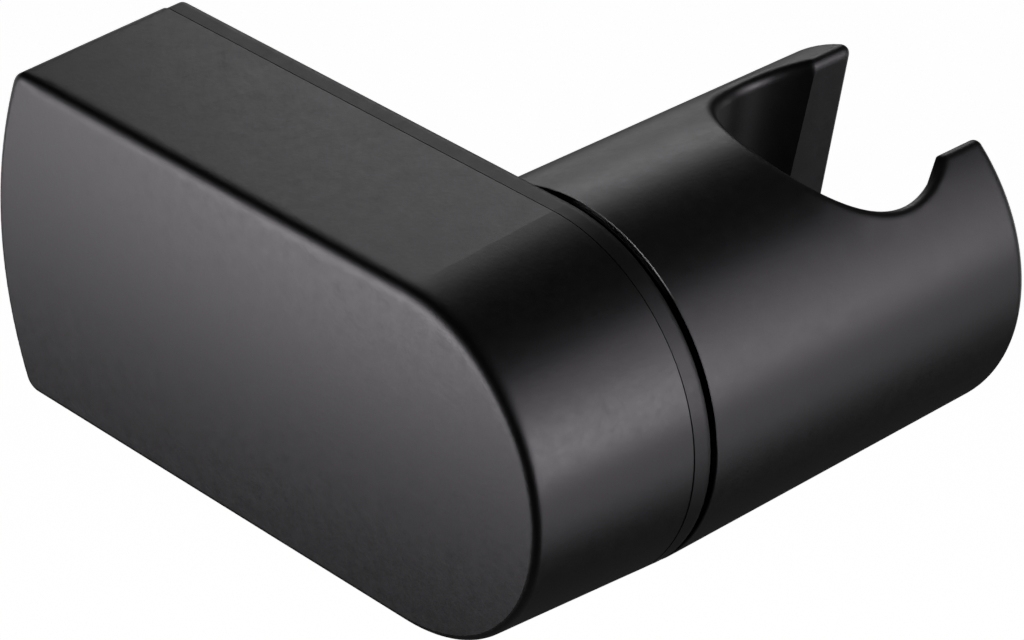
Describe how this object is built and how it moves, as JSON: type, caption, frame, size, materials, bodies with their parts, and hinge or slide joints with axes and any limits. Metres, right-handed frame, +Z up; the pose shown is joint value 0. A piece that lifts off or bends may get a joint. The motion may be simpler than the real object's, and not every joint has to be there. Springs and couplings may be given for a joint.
{
  "type": "hand shower holder",
  "caption": "D-shaped wall bracket with a cradle barrel at its side that tilts on a friction pivot and holds a hand shower in a tapered socket with an open mouth.",
  "frame": {"origin": "middle of the wall plate's back face, in the wall's plane, midway between the two wall screw holes", "axes": "+Y points into the wall, +X runs along the barrel away from the bracket, +Z is up"},
  "size_m": [0.0714, 0.0862, 0.0422],
  "materials": {
    "black_housing": "satin black moulded plastic",
    "black_cover": "satin black moulded plastic",
    "black_barrel": "satin black moulded plastic",
    "grey_moulding": "plain dark grey moulded plastic",
    "black_steel": "black oxide steel",
    "steel": "stainless steel",
    "brass": "turned brass",
    "white_nylon": "natural nylon",
    "black_rubber": "black rubber"
  },
  "bodies": {
    "bracket": {"housing_shell": "black_housing", "side_cover": "black_cover", "wall_plate": "grey_moulding", "lock_screw": "black_steel", "lock_nut": "steel", "cover_screws": "steel", "pivot_screw": "steel", "pivot_nut": "steel", "pivot_sleeve": "brass", "friction_washer": "white_nylon", "disc_springs": "steel", "head_washer": "steel", "seal_ring": "black_rubber"},
    "cradle": {"holder_barrel": "black_barrel", "socket_cap": "black_barrel", "thrust_washer": "white_nylon"}
  },
  "joints": [
    {"name": "cradle_tilt", "type": "hinge", "parent": "bracket", "child": "cradle", "pos_m": [0.0121, -0.0651, 0], "axis": [1, 0, 0], "continuous": true}
  ]
}
